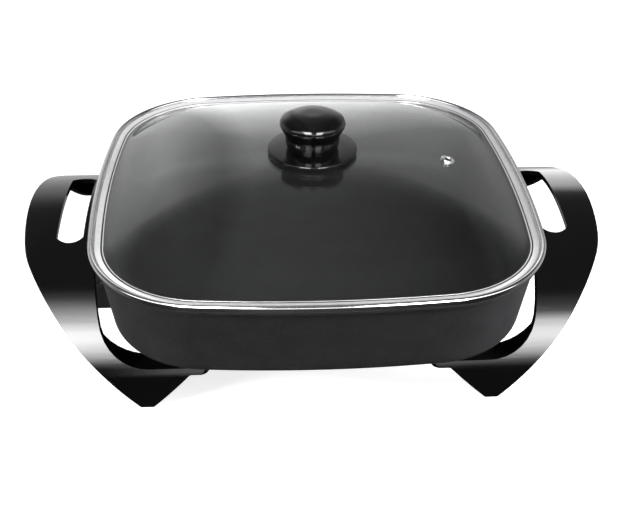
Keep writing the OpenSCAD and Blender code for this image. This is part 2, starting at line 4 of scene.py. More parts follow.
import bmesh
import bpy
from mathutils import Matrix, Vector


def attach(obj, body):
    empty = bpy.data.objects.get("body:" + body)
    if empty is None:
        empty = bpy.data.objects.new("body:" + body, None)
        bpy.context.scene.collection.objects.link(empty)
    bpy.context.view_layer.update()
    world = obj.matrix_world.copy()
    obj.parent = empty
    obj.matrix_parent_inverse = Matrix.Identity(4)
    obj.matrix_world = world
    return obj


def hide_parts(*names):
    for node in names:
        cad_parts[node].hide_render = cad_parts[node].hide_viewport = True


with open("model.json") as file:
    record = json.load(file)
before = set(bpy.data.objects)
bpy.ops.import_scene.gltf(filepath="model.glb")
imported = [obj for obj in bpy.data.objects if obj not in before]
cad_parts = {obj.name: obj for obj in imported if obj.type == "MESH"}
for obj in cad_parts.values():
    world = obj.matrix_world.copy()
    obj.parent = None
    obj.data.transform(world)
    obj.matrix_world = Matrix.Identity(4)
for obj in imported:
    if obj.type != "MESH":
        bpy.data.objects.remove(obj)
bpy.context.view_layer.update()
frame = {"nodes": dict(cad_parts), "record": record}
NODES = frame["nodes"]
MM = 0.001

# --- Sizes in millimetres, the same as in the object's source --------------------------------------------

# Outline of the lid: half width, bow of each side, radius at the corners
HALF = 160.0
BOW = 15.0
CORNER_R = 82.0

# Pan
LIP_Z = 98.5
PAN_DEPTH = 60.5
WALL = 3.0
BASE_T = 4.5
LIP_INSET = 2.5
LIP_OVERHANG = 3.0
LIP_T = 3.0
LEAN = 9.5
BASE_EDGE_R = 12.0

# Lid
LID_GAP = 0.3
GLASS_T = 3.0
DOME_RISE = 27.5
DOME_POWER = 2.6
BAND_T = 0.4
BAND_W = 10.5
ROLL_R = 1.75
ROLL_SINK = 0.2
BORDER_W = 1.5
VENT_X = 101.0
VENT_R = 2.6
VENT_FLANGE_R = 5.2
VENT_WALL = 0.6

# Knob
KNOB_H = 27.0
KNOB_CAP_R = 24.0
KNOB_NECK_R = 19.8
KNOB_WAIST_R = 18.3
GUARD_R = 33.0
GUARD_T = 3.0
GASKET_T = 1.0
INSERT_R = 4.0
INSERT_L = 14.0

# Clearance between pieces that fit into each other
SLIP = 0.05

# Heights and insets that follow from these, and shares of the glass's half width
BASE_Z = LIP_Z - PAN_DEPTH
FLOOR_Z = BASE_Z + BASE_T
WALL_INSET = LIP_INSET + LIP_OVERHANG
BASE_INSET = WALL_INSET + LEAN
INNER_EDGE_R = BASE_EDGE_R + WALL
BAND_BOTTOM = LIP_Z + LID_GAP
GLASS_EDGE_Z = BAND_BOTTOM + BAND_T
GLASS_TOP_Z = GLASS_EDGE_Z + GLASS_T
GLASS_INSET = ROLL_R + BAND_T + SLIP
ROLL_Z = GLASS_TOP_Z + BAND_T - ROLL_SINK * ROLL_R
BORDER_SHARE = (HALF - BAND_W - BORDER_W) / (HALF - GLASS_INSET)
FLAT_SHARE = 0.2
APEX_Z = GLASS_TOP_Z + DOME_RISE * (1 - (FLAT_SHARE / BORDER_SHARE) ** DOME_POWER)
GUARD_Z = APEX_Z + GASKET_T
KNOB_Z = GUARD_Z + GUARD_T

# --- Sizes in millimetres that only this scene has -------------------------------------------------------

# How much lower than in the source the glass's upper side lies at its border, and the band's edge with it
BORDER_DROP = 2.0
BORDER_Z = GLASS_TOP_Z - BORDER_DROP
# Share of the way out from the middle at which that upper side starts to come down
DROP_SHARE = 0.78
# Softness of the bend between the dome and its border
ELBOW = 1.0
# Where the groove starts and ends, measured in from the lid's edge; a dark strip of painted shade lies in
# it, standing for the dark line of shade and reflection along the band
SHADE_LINE_START = 8.8
SHADE_LINE_END = 9.75
# Holes for the knob's screw in the glass and in the guard
GLASS_HOLE_R = 3.7
GUARD_HOLE_R = 2.8
# How far the vent stands out above and below the glass
VENT_STANDS = 1.2
# Rounding of the edges of the two handles and of the inlet's shell
HANDLE_EDGE = 1.1
SHELL_EDGE = 0.5

# --- Camera, fitted to the outlines in the photograph, in its pixels and in metres -----------------------

FRAME_W, FRAME_H = 641, 515
FOCAL_PX = 1062.0
CENTRE_PX = (312.0, 181.0)
CAM_DIST = 0.793
CAM_ELEV = radians(29.0)
CAM_AZ = radians(-3.5)
CAM_ROLL = radians(0.6)
AIM_Z = 0.104


def add_object(name, data):
    obj = bpy.data.objects.new(name, data)
    bpy.context.scene.collection.objects.link(obj)
    return obj


def make_camera():
    data = bpy.data.cameras.new("camera")
    data.sensor_width = 36.0
    data.lens = FOCAL_PX / FRAME_W * data.sensor_width
    data.shift_x = (FRAME_W / 2 - CENTRE_PX[0]) / FRAME_W
    data.shift_y = (CENTRE_PX[1] - FRAME_H / 2) / FRAME_W
    data.clip_start = 0.01
    data.clip_end = 50
    back = Vector((sin(CAM_AZ) * cos(CAM_ELEV), -cos(CAM_AZ) * cos(CAM_ELEV), sin(CAM_ELEV)))
    level = (-back).cross(Vector((0, 0, 1))).normalized()
    upright = back.cross(level)
    right = level * cos(CAM_ROLL) + upright * sin(CAM_ROLL)
    up = upright * cos(CAM_ROLL) - level * sin(CAM_ROLL)
    place = Matrix((right, up, back)).transposed().to_4x4()
    place.translation = Vector((0, 0, AIM_Z)) + back * CAM_DIST
    cam = add_object("camera", data)
    cam.matrix_world = place
    bpy.context.scene.camera = cam


make_camera()

# --- Node graphs -----------------------------------------------------------------------------------------


def rgba(color):
    """A colour, or the grey of a single number, with full alpha."""
    return (*color, 1) if isinstance(color, tuple) else (color, color, color, 1)


def feed(tree, socket, value):
    """Links an output to the socket, or sets the socket to a plain value."""
    if isinstance(value, bpy.types.NodeSocket):
        tree.links.new(value, socket)
    else:
        socket.default_value = value


def math_node(tree, operation, *values):
    node = tree.nodes.new("ShaderNodeMath")
    node.operation = operation
    for socket, value in zip(node.inputs, values):
        feed(tree, socket, value)
    return node.outputs["Value"]


def map_range(tree, value, low, high, interpolation="LINEAR"):
    """0 where value is at low, 1 where it is at high."""
    node = tree.nodes.new("ShaderNodeMapRange")
    node.interpolation_type = interpolation
    node.inputs["From Min"].default_value = low
    node.inputs["From Max"].default_value = high
    feed(tree, node.inputs["Value"], value)
    return node.outputs["Result"]


def window(tree, value, low, high, soft):
    """1 where value lies between low and high, fading to 0 over the width soft on both sides."""
    rise = map_range(tree, value, low - soft / 2, low + soft / 2, "SMOOTHSTEP")
    fall = map_range(tree, value, high + soft / 2, high - soft / 2, "SMOOTHSTEP")
    return math_node(tree, "MULTIPLY", rise, fall)


def ramp(tree, source, stops):
    """A colour ramp; each stop has a position and a colour or a grey level."""
    node = tree.nodes.new("ShaderNodeValToRGB")
    elements = node.color_ramp.elements
    for element, (position, color) in zip(elements, (stops[0], stops[-1])):
        element.position, element.color = position, rgba(color)
    for position, color in stops[1:-1]:
        elements.new(position).color = rgba(color)
    feed(tree, node.inputs["Fac"], source)
    return node.outputs["Color"]


def mix_colors(tree, factor, first, second):
    node = tree.nodes.new("ShaderNodeMix")
    node.data_type = "RGBA"
    for name, value in (("Factor", factor), ("A", first), ("B", second)):
        feed(tree, node.inputs[name], value)
    return node.outputs["Result"]


def mix_shaders(tree, factor, first, second):
    node = tree.nodes.new("ShaderNodeMixShader")
    for socket, value in zip(node.inputs, (factor, first, second)):
        feed(tree, socket, value)
    return node.outputs["Shader"]


def add_shaders(tree, first, second):
    node = tree.nodes.new("ShaderNodeAddShader")
    for socket, value in zip(node.inputs, (first, second)):
        feed(tree, socket, value)
    return node.outputs["Shader"]


def light_shader(tree, kind, color, strength):
    """An Emission or Background shader."""
    node = tree.nodes.new(kind)
    feed(tree, node.inputs["Color"], color)
    feed(tree, node.inputs["Strength"], strength)
    return node.outputs[kind.removeprefix("ShaderNode")]


def transparent(tree, color):
    node = tree.nodes.new("ShaderNodeBsdfTransparent")
    node.inputs["Color"].default_value = rgba(color)
    return node.outputs["BSDF"]


def split_vector(tree, coordinate):
    """The three parts of a texture coordinate."""
    coord = tree.nodes.new("ShaderNodeTexCoord")
    split = tree.nodes.new("ShaderNodeSeparateXYZ")
    tree.links.new(coord.outputs[coordinate], split.inputs["Vector"])
    return split.outputs["X"], split.outputs["Y"], split.outputs["Z"]


def object_noise(tree, scale, detail, stretch=None):
    """Noise that is fixed to the object; stretch gives its frequency along each axis."""
    vector = tree.nodes.new("ShaderNodeTexCoord").outputs["Object"]
    if stretch:
        mapping = tree.nodes.new("ShaderNodeMapping")
        mapping.inputs["Scale"].default_value = stretch
        tree.links.new(vector, mapping.inputs["Vector"])
        vector = mapping.outputs["Vector"]
    noise = tree.nodes.new("ShaderNodeTexNoise")
    noise.inputs["Scale"].default_value = scale
    noise.inputs["Detail"].default_value = detail
    tree.links.new(vector, noise.inputs["Vector"])
    return noise.outputs["Fac"]


def varied(tree, noise, low, high):
    """From low to high over the middle of a noise's range."""
    return ramp(tree, noise, [(0.3, low), (0.7, high)])


def bump(tree, bsdf, height, strength, distance):
    node = tree.nodes.new("ShaderNodeBump")
    node.inputs["Strength"].default_value = strength
    node.inputs["Distance"].default_value = distance
    tree.links.new(height, node.inputs["Height"])
    tree.links.new(node.outputs["Normal"], bsdf.inputs["Normal"])


# --- Materials -------------------------------------------------------------------------------------------


def new_material(name):
    """A material, its node tree and its Principled shader."""
    material = bpy.data.materials.new(name)
    material.use_nodes = True
    return material, material.node_tree, material.node_tree.nodes.get("Principled BSDF")


def set_up(bsdf, **values):
    names = {"metallic": "Metallic", "roughness": "Roughness", "ior": "IOR",
             "transmission": "Transmission Weight", "specular": "Specular IOR Level"}
    for key, value in values.items():
        bsdf.inputs[names[key]].default_value = value


def surface(tree, shader):
    """Makes the shader the material's surface."""
    tree.links.new(shader, tree.nodes.get("Material Output").inputs["Surface"])


def nonstick():
    """Matt charcoal coating with a fine light fleck and a slight orange peel."""
    material, tree, bsdf = new_material("nonstick")
    fleck = object_noise(tree, scale=1500, detail=1)
    cloud = object_noise(tree, scale=60, detail=4)
    base = ramp(tree, cloud, [(0.35, (0.018, 0.018, 0.019)), (0.65, (0.023, 0.023, 0.024))])
    spots = ramp(tree, fleck, [(0.60, 0.0), (0.72, 1.0)])
    color = mix_colors(tree, spots, base, rgba((0.045, 0.045, 0.047)))
    tree.links.new(color, bsdf.inputs["Base Color"])
    set_up(bsdf, roughness=0.5, specular=0.2)
    bump(tree, bsdf, fleck, strength=0.12, distance=0.0001)
    return material


def plastic(name, tint, roughness, peel, scale):
    """Moulded plastic: a little colour variation, and the fine waviness of its skin as strong as peel."""
    material, tree, bsdf = new_material(name)
    cloud = object_noise(tree, scale=35, detail=2)
    dark = tuple(0.85 * c for c in tint)
    tree.links.new(varied(tree, cloud, dark, tint), bsdf.inputs["Base Color"])
    set_up(bsdf, roughness=roughness, ior=1.5)
    bump(tree, bsdf, object_noise(tree, scale, detail=2), strength=peel, distance=0.0002)
    return material


def metal(name, tint, roughness, scale, stretch=None, metallic=1.0):
    """Metal with a fine variation of its colour and gloss, drawn out into brushing by stretch."""
    material, tree, bsdf = new_material(name)
    noise = object_noise(tree, scale, detail=4, stretch=stretch)
    dark = tuple(0.9 * c for c in tint)
    tree.links.new(varied(tree, noise, dark, tint), bsdf.inputs["Base Color"])
    gloss = varied(tree, noise, 0.8 * roughness, 1.25 * roughness)
    tree.links.new(gloss, bsdf.inputs["Roughness"])
    set_up(bsdf, metallic=metallic)
    bump(tree, bsdf, noise, strength=0.05, distance=0.0001)
    return material


def clear_glass():
    """Tempered glass with the faintest waviness, through which only part of the lamps' light comes."""
    passed = 0.6
    material, tree, bsdf = new_material("glass")
    bsdf.inputs["Base Color"].default_value = rgba((0.92, 0.94, 0.94))
    set_up(bsdf, roughness=0.0, ior=1.5, transmission=1.0)
    bump(tree, bsdf, object_noise(tree, scale=12, detail=1), strength=0.02, distance=0.001)
    path = tree.nodes.new("ShaderNodeLightPath")
    lit = math_node(tree, "MAXIMUM", path.outputs["Is Shadow Ray"], path.outputs["Is Diffuse Ray"])
    surface(tree, mix_shaders(tree, lit, bsdf.outputs["BSDF"], transparent(tree, passed)))
    return material


MAT = {
    "nonstick": nonstick(),
    "handle": plastic("black_plastic", (0.003, 0.003, 0.0033), roughness=0.1, peel=0.06, scale=500),
    "housing": plastic("matt_plastic", (0.018, 0.018, 0.019), roughness=0.55, peel=0.4, scale=1500),
    "silicone": plastic("silicone", (0.02, 0.02, 0.02), roughness=0.65, peel=0.3, scale=1200),
    "ceramic": plastic("ceramic", (0.78, 0.75, 0.68), roughness=0.45, peel=0.3, scale=900),
    "steel": metal("polished_steel", (0.96, 0.96, 0.97), roughness=0.16, scale=300, metallic=0.45),
    "zinc": metal("zinc_plate", (0.60, 0.61, 0.63), roughness=0.35, scale=700),
    "sheath": metal("element_sheath", (0.30, 0.28, 0.26), roughness=0.5, scale=400),
    "contact": metal("contact_metal", (0.72, 0.69, 0.62), roughness=0.25, scale=500, stretch=(1, 6, 6)),
    "brass": metal("brass", (0.72, 0.53, 0.22), roughness=0.3, scale=500),
    "glass": clear_glass(),
}
MIRROR = metal("mirror_steel", (0.84, 0.84, 0.85), roughness=0.07, scale=300)
SLOT_OF = {s["node"]: s["material_slot"] for s in frame["record"]["subparts"]}
for name, obj in NODES.items():
    obj.data.materials.clear()
    obj.data.materials.append(MAT[SLOT_OF[name]])

# --- Outline ---------------------------------------------------------------------------------------------

# Each side is an arc of radius BOW_R round a point BOW_BACK behind the middle. It meets the corner's arc,
# whose middle is at CORNER_C in X and Y, where the outline's normal has turned by the angle JOIN.
BOW_R = (HALF * HALF + BOW * BOW) / (2 * BOW)
BOW_BACK = BOW_R - HALF
CORNER_C = (sqrt(2 * (BOW_R - CORNER_R) ** 2 - BOW_BACK ** 2) - BOW_BACK) / 2
JOIN = atan(CORNER_C / (CORNER_C + BOW_BACK))


def outline_point(phi, inset):
    """The point of the outline, drawn in by inset, at which its normal has the angle phi."""
    quarter = floor((phi + JOIN) / (pi / 2))
    a = phi - quarter * pi / 2
    if a <= JOIN:
        x, y = (BOW_R - inset) * cos(a) - BOW_BACK, (BOW_R - inset) * sin(a)
    else:
        x, y = CORNER_C + (CORNER_R - inset) * cos(a), CORNER_C + (CORNER_R - inset) * sin(a)
    c, s = cos(quarter * pi / 2), sin(quarter * pi / 2)
    return x * c - y * s, x * s + y * c


def outline_angles(side_steps, corner_steps):
    angles = []
    for quarter in range(4):
        start = quarter * pi / 2
        angles += [start - JOIN + 2 * JOIN * i / side_steps for i in range(side_steps)]
        angles += [start + JOIN + (pi / 2 - 2 * JOIN) * i / corner_steps for i in range(corner_steps)]
    return angles


ANGLES = outline_angles(16, 32)

# --- Mesh building ---------------------------------------------------------------------------------------

# Distance in metres within which points of a CAD mesh are one
MERGE = 2e-6
# Faces of a CAD mesh that meet at less than this are one flat face
FLAT = radians(0.5)
# Edges of a CAD mesh at which faces meet at more than this are rounded
SHARP = radians(30)


def corner_points(points, radii, steps):
    """Rounds the corners of a profile, each by its own radius: the same rule as in the object's source."""
    out = []
    for i, (point, r) in enumerate(zip(points, radii)):
        if r <= 0:
            out.append(point)
            continue
        corner = Vector(point)
        back = (Vector(points[i - 1]) - corner).normalized()
        ahead = (Vector(points[(i + 1) % len(points)]) - corner).normalized()
        half = acos(max(-1, min(1, back.dot(ahead)))) / 2
        reach = r / tan(half)
        centre = corner + (back + ahead).normalized() * r / sin(half)
        first, last = corner + back * reach - centre, corner + ahead * reach - centre
        start = atan2(first.y, first.x)
        turn = atan2(first.x * last.y - first.y * last.x, first.dot(last))
        for k in range(steps + 1):
            t = start + turn * k / steps
            out.append((centre.x + r * cos(t), centre.y + r * sin(t)))
    return out


def edit(mesh, change):
    """Runs a function on the mesh as a bmesh and writes the result back."""
    bm = bmesh.new()
    bm.from_mesh(mesh)
    change(bm)
    bm.to_mesh(mesh)
    bm.free()


def smooth(obj, angle=35):
    """Smooth shading with creases only where faces meet at more than the angle in degrees."""
    def shade(bm):
        for face in bm.faces:
            face.smooth = True
        for edge in bm.edges:
            if len(edge.link_faces) == 2:
                edge.smooth = edge.calc_face_angle(0.0) < radians(angle)
    edit(obj.data, shade)


def outward(obj):
    """Turns the faces outward."""
    edit(obj.data, lambda bm: bmesh.ops.recalc_face_normals(bm, faces=bm.faces))


def mesh_object(name, verts, faces, slot, body):
    """A piece from points in millimetres, with its faces turned outward."""
    mesh = bpy.data.meshes.new(name)
    mesh.from_pydata([(x * MM, y * MM, z * MM) for x, y, z in verts], [], faces)
    mesh.materials.append(MAT[slot])
    obj = add_object(name, mesh)
    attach(obj, body)
    outward(obj)
    smooth(obj)
    return obj


def ring_solid(name, rings, slot, body, closed=True):
    """A skin over rings of points, which closes on its first ring or is capped at both ends."""
    n = len(ANGLES)
    count = len(rings)
    faces = []
    for k in range(count if closed else count - 1):
        ahead = (k + 1) % count
        for i in range(n):
            j = (i + 1) % n
            faces.append((k * n + i, ahead * n + i, ahead * n + j, k * n + j))
    if not closed:
        faces.append(tuple(range(n)))
        faces.append(tuple((count - 1) * n + i for i in reversed(range(n))))
    return mesh_object(name, [point for ring in rings for point in ring], faces, slot, body)


def ring_sweep(name, profile, slot, body, closed=True):
    """A profile of [distance outside the outline, height] swept round the outline."""
    rings = [[(*outline_point(a, -d), z) for a in ANGLES] for d, z in profile]
    return ring_solid(name, rings, slot, body, closed)


def lathe(name, profile, slot, body, steps):
    """A closed profile of [radius, height] turned about the middle; points at radius 0 become poles."""
    verts, rows = [], []
    for r, z in profile:
        if r <= 1e-6:
            rows.append([len(verts)] * steps)
            verts.append((0, 0, z))
        else:
            rows.append([len(verts) + i for i in range(steps)])
            verts += [(r * cos(2 * pi * i / steps), r * sin(2 * pi * i / steps), z) for i in range(steps)]
    faces = []
    for k, a in enumerate(rows):
        b = rows[(k + 1) % len(rows)]
        for i in range(steps):
            j = (i + 1) % steps
            corners = tuple(dict.fromkeys((a[i], b[i], b[j], a[j])))
            if len(corners) > 2:
                faces.append(corners)
    return mesh_object(name, verts, faces, slot, body)


def lifted(profile, z):
    """The profile, higher by z."""
    return [(x, y + z) for x, y in profile]


def softened(node, name, width, body, segments=3):
    """The node's own solid, its flat faces made whole again and its edges rounded."""
    def round_edges(bm):
        bmesh.ops.remove_doubles(bm, verts=bm.verts, dist=MERGE)
        bmesh.ops.dissolve_limit(bm, angle_limit=FLAT, verts=bm.verts, edges=bm.edges, delimit=set())
        sharp = [e for e in bm.edges if len(e.link_faces) == 2 and e.calc_face_angle(0.0) > SHARP]
        bmesh.ops.bevel(bm, geom=sharp, offset=width * MM, offset_type="OFFSET", segments=segments,
                        profile=0.5, affect="EDGES", clamp_overlap=True)

    obj = add_object(name, NODES[node].data.copy())
    edit(obj.data, round_edges)
    smooth(obj, 40)
    weights = obj.modifiers.new("weights", "WEIGHTED_NORMAL")
    weights.keep_sharp = True
    weights.weight = 60
    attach(obj, body)
    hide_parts(node)


# --- Pan -------------------------------------------------------------------------------------------------


def make_pan():
    """The bowl, down to the underside of its base; the base is flat from the line middle inward."""
    middle = -(BASE_INSET + INNER_EDGE_R + 10)
    points = [(middle, BASE_Z), (-BASE_INSET, BASE_Z), (-WALL_INSET, LIP_Z - LIP_T),
              (-LIP_INSET, LIP_Z - LIP_T), (-LIP_INSET, LIP_Z), (-WALL_INSET - WALL, LIP_Z),
              (-BASE_INSET - WALL, FLOOR_Z), (middle, FLOOR_Z)]
    radii = [0, BASE_EDGE_R, 1.2, 1.0, 1.0, 2.5, INNER_EDGE_R, 0]
    pan = ring_sweep("pan", corner_points(points, radii, 12), "nonstick", "base", closed=False)
    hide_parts("pan_body")


def make_underside():
    """What stands below the pan's base: the CAD solid's bosses, rib and probe block, let into the base."""
    tuck = 1.0

    def keep_below_base(bm):
        bmesh.ops.remove_doubles(bm, verts=bm.verts, dist=MERGE)
        bmesh.ops.bisect_plane(bm, geom=bm.verts[:] + bm.edges[:] + bm.faces[:],
                               plane_co=(0, 0, (BASE_Z - SLIP) * MM), plane_no=(0, 0, 1), clear_outer=True)
        edge = [e for e in bm.edges if e.is_boundary]
        made = bmesh.ops.extrude_edge_only(bm, edges=edge)["geom"]
        moved = [v for v in made if isinstance(v, bmesh.types.BMVert)]
        bmesh.ops.translate(bm, vec=(0, 0, tuck * MM), verts=moved)
        bmesh.ops.dissolve_limit(bm, angle_limit=FLAT, verts=bm.verts, edges=bm.edges, delimit=set())

    under = add_object("pan_underside", NODES["pan_body"].data.copy())
    edit(under.data, keep_below_base)
    smooth(under, 30)
    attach(under, "base")
    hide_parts("pan_body")


make_pan()
make_underside()

# --- Lid -------------------------------------------------------------------------------------------------


def dome(share):
    """Height of the glass above its flat border, with a soft elbow where the dome starts."""
    rise = DOME_RISE * (1 - (share / BORDER_SHARE) ** DOME_POWER)
    return (rise + sqrt(rise * rise + ELBOW * ELBOW)) / 2


def make_roll():
    """The roll along the lid's edge, with the U that holds the glass."""
    slot_end = -ROLL_R - BAND_T
    start, turn, steps = radians(-90), radians(335), 34
    angles = [start + turn * i / steps for i in range(steps + 1)]
    arc = [(-ROLL_R + ROLL_R * cos(a), ROLL_Z + ROLL_R * sin(a)) for a in angles]
    channel = [(slot_end, BORDER_Z), (slot_end, GLASS_EDGE_Z), (-BAND_W, GLASS_EDGE_Z),
               (-BAND_W, BAND_BOTTOM), (-ROLL_R, BAND_BOTTOM)]
    roll = ring_sweep("rim_roll", arc + channel, "steel", "lid")
    roll.data.materials[0] = MIRROR
    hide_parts("lid_rim")


def make_band():
    """The band on the glass, from a valley beside the roll down to its inner edge, and a dark strip of
    painted shade in its groove.
    """
    inner_z = BORDER_Z + BAND_T
    groove_z = inner_z - 0.2
    edge_z = inner_z + 0.7
    shade_strip_z = inner_z + 0.75
    valley = [(-2.4, ROLL_Z - 1.2), (-4.0, ROLL_Z - 1.3)]
    crest = (-4.6, ROLL_Z - 0.1)
    slope_end = (-SHADE_LINE_START, inner_z + 0.5)
    points = [*valley, crest, slope_end, (-SHADE_LINE_START, groove_z), (-SHADE_LINE_END, groove_z),
              (-SHADE_LINE_END, edge_z), (-BAND_W, edge_z), (-BAND_W, BORDER_Z), (-GLASS_INSET, BORDER_Z)]
    radii = [0, 0.2, 0.5, 0.15, 0, 0, 0.2, 0.25, 0, 0]
    rim = ring_sweep("rim", corner_points(points, radii, 6), "steel", "lid")
    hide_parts("lid_rim")
    # A dark silicone strip in the groove: painted shade, standing for the dark line of shade and reflection
    # between the band's slope and its raised edge.
    outer, inner, bottom = -SHADE_LINE_START - SLIP, -SHADE_LINE_END + SLIP, groove_z + 0.1
    points = [(outer, bottom), (outer, shade_strip_z), (inner, shade_strip_z), (inner, bottom)]
    ring_sweep("rim_seam", corner_points(points, [0, 0.2, 0.2, 0], 4), "silicone", "lid")


def make_glass():
    """The domed glass with the hole for the knob's screw; its upper side comes down to the band's edge."""
    edge = [outline_point(a, GLASS_INSET) for a in ANGLES]
    # Shares of the way out from the middle that have a ring of points, closest where the dome starts
    shares = [1.0, 0.99, 0.975, 0.965, 0.957, 0.951, 0.946, 0.941, 0.936, 0.93, 0.922, 0.91, 0.89]
    shares += [0.865 - 0.03 * i for i in range(27)]

    def ring(share, z):
        return [(x * share, y * share, z + dome(share)) for x, y in edge]

    def drop(share):
        near = max(0, min(1, (share - DROP_SHARE) / (BORDER_SHARE - DROP_SHARE)))
        return BORDER_DROP * near * near * (3 - 2 * near)

    def hole(z):
        shares_in = [GLASS_HOLE_R / hypot(x, y) for x, y in edge]
        return [(x * share, y * share, z + dome(0)) for (x, y), share in zip(edge, shares_in)]

    rings = [ring(s, GLASS_TOP_Z - drop(s)) for s in shares] + [hole(GLASS_TOP_Z), hole(GLASS_EDGE_Z)]
    rings += [ring(s, GLASS_EDGE_Z) for s in reversed(shares)]
    glass = ring_solid("glass", rings, "glass", "lid")
    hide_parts("lid_glass")
    return glass


def vent_place():
    """The vent's place on the glass, leaning with the dome's slope there."""
    reach = HALF - GLASS_INSET
    share = VENT_X / reach
    step = 0.001
    slope = atan((dome(share - step) - dome(share + step)) / (2 * step * reach))
    place = Matrix.Translation((VENT_X * MM, 0, (GLASS_TOP_Z + dome(share)) * MM))
    return place @ Matrix.Rotation(slope, 4, "Y")


def make_vent(place):
    """A steel eyelet through the glass, rolled over on top and spread below."""
    tube_r = VENT_R + VENT_WALL
    low, under = -GLASS_T - VENT_STANDS, -GLASS_T - 2 * SLIP
    points = [(VENT_R, low), (VENT_FLANGE_R, low), (VENT_FLANGE_R, under), (tube_r, under),
              (tube_r, SLIP), (VENT_FLANGE_R, SLIP), (VENT_FLANGE_R, VENT_STANDS), (VENT_R, VENT_STANDS)]
    radii = [0.4, 0.4, 0.1, 0, 0, 0.3, 0.7, 0.6]
    vent = lathe("vent", corner_points(points, radii, 6), "steel", "lid", steps=64)
    vent.data.transform(place)
    vent.data.materials[0] = MIRROR
    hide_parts("steam_vent")


def cut_vent_hole(glass, place):
    """A round hole through the glass for the vent."""
    hole_r = (VENT_R + VENT_WALL + SLIP) * MM
    mesh = bpy.data.meshes.new("cutter")
    edit(mesh, lambda bm: bmesh.ops.create_cone(bm, cap_ends=True, segments=48, radius1=hole_r,
                                                radius2=hole_r, depth=10 * GLASS_T * MM))
    mesh.transform(place)
    cutter = add_object("cutter", mesh)
    cut = glass.modifiers.new("hole", "BOOLEAN")
    cut.operation = "DIFFERENCE"
    cut.solver = "EXACT"
    cut.object = cutter
    bpy.context.view_layer.update()
    done = bpy.data.meshes.new_from_object(glass.evaluated_get(bpy.context.evaluated_depsgraph_get()))
    glass.modifiers.clear()
    glass.data = done
    bpy.data.objects.remove(cutter)
    smooth(glass)


def make_knob():
    """The mushroom knob, hollow where its insert sits."""
    bore_r = INSERT_R + SLIP
    points = [(bore_r, 0), (KNOB_WAIST_R, 0), (KNOB_NECK_R, 0.19 * KNOB_H), (KNOB_NECK_R, 0.37 * KNOB_H),
              (KNOB_CAP_R + 1.45, 0.775 * KNOB_H), (0.71 * KNOB_CAP_R, 0.952 * KNOB_H),
              (0.355 * KNOB_CAP_R, KNOB_H), (0, KNOB_H), (0, INSERT_L), (bore_r, INSERT_L)]
    radii = [0, 0.6, 8, 6, 4.4, 22, 45, 0, 0, 0]
    knob = lathe("knob_cap", lifted(corner_points(points, radii, 20), KNOB_Z), "handle", "lid", steps=160)
    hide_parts("knob")


def make_guard():
    """The round guard under the knob, which rises a little from its edge to where the knob stands."""
    top_r = KNOB_WAIST_R + 3
    points = [(GUARD_HOLE_R, 0), (GUARD_R - 2, 0), (GUARD_R, 1.2), (GUARD_R, GUARD_T - 0.4),
              (top_r, GUARD_T), (GUARD_HOLE_R, GUARD_T)]
    radii = [0, 2, 0.8, 1.0, 0, 0]
    guard = lathe("guard", lifted(corner_points(points, radii, 8), GUARD_Z), "handle", "lid", steps=192)
    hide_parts("knob_guard")


make_roll()
make_band()
lid_glass = make_glass()
make_vent(vent_place())
cut_vent_hole(lid_glass, vent_place())
make_knob()
make_guard()

# --- Handles and inlet -----------------------------------------------------------------------------------

softened("left_handle", "left_grip", HANDLE_EDGE, "base")
softened("right_handle", "right_grip", HANDLE_EDGE, "base")
softened("inlet_housing", "inlet_shell", SHELL_EDGE, "base", segments=2)

# --- Floor and light, in metres and degrees --------------------------------------------------------------

# Half width of the floor, its tones for bounced rays and for the camera, and the glow the camera sees on it
FLOOR_HALF = 8.0
FLOOR_DULL = 0.4
FLOOR_BRIGHT = 0.8
FLOOR_GLOW = 0.8

# Light of the studio by the height of a direction, behind the object and in front of it
BACK_PEAK = 1.5
BACK = ((-90, 0.05), (-40, 0.2), (-12, 1.2), (0, 1.4), (12, 1.3), (20, 1.15), (25, 0.85), (28, 0.6),
        (32, 0.4), (37, 0.24), (45, 0.2), (55, 0.2), (90, 0.2))
FRONT = ((-90, 0.06), (20, 0.03), (45, 0.12), (90, 0.2))
# Front and back fade into each other between these values of a direction's Y
FADE = 0.35
# How strong it is across, from the left (-1) to the right (1)
ACROSS_PEAK = 1.2
ACROSS = ((-1, 0.4), (-0.55, 0.45), (-0.42, 0.6), (-0.32, 0.85), (-0.15, 0.65), (-0.06, 1.2), (0.1, 0.9),
          (0.26, 0.6), (0.42, 0.3), (1, 0.4))

# Soft boxes in front: where each starts and ends across, the degrees it leans back, and its strength
BOXES = ((-0.95, -0.45, 0, 2.5), (-0.45, -0.10, 0, 25), (-0.10, 0.16, -40, 2), (0.16, 0.48, -9, 20),
         (0.48, 0.95, 0, 2.5))
BOX_SOFT = 0.08
# Their level by the angle from the front horizon (0) over the top (90) to the back (180)
BOX_PROFILE = ((9, 0), (15, 0.06), (24, 0.4), (33, 0.72), (44, 1), (52, 0.98), (64, 0.62), (69, 0.32),
               (73, 0.14), (77, 0.035), (83, 0))

# Softness of the panel's edges as a share of its half width
PANEL_SOFT = 0.5

# Width of the square lamps, and the point they shine at
LAMP_SIZE = 0.8
LAMP_TARGET = (0, 0, 0.08)


def seen_by_camera(tree, path):
    """1 for a ray that comes from the camera, straight or through the glass."""
    bounces = math_node(tree, "ADD", path.outputs["Diffuse Depth"], path.outputs["Glossy Depth"])
    direct = math_node(tree, "LESS_THAN", bounces, 0.5)
    through = math_node(tree, "MULTIPLY", path.outputs["Is Transmission Ray"], direct)
    return math_node(tree, "MAXIMUM", path.outputs["Is Camera Ray"], through)


def sheet(name, half_w, half_l):
    """A flat rectangle of the stage with a material of its own."""
    mesh = bpy.data.meshes.new(name)
    corners = [(-half_w, -half_l, 0), (half_w, -half_l, 0), (half_w, half_l, 0), (-half_w, half_l, 0)]
    mesh.from_pydata(corners, [], [(0, 1, 2, 3)])
    obj = add_object(name, mesh)
    material, tree, bsdf = new_material(name)
    mesh.materials.append(material)
    return obj, tree, bsdf


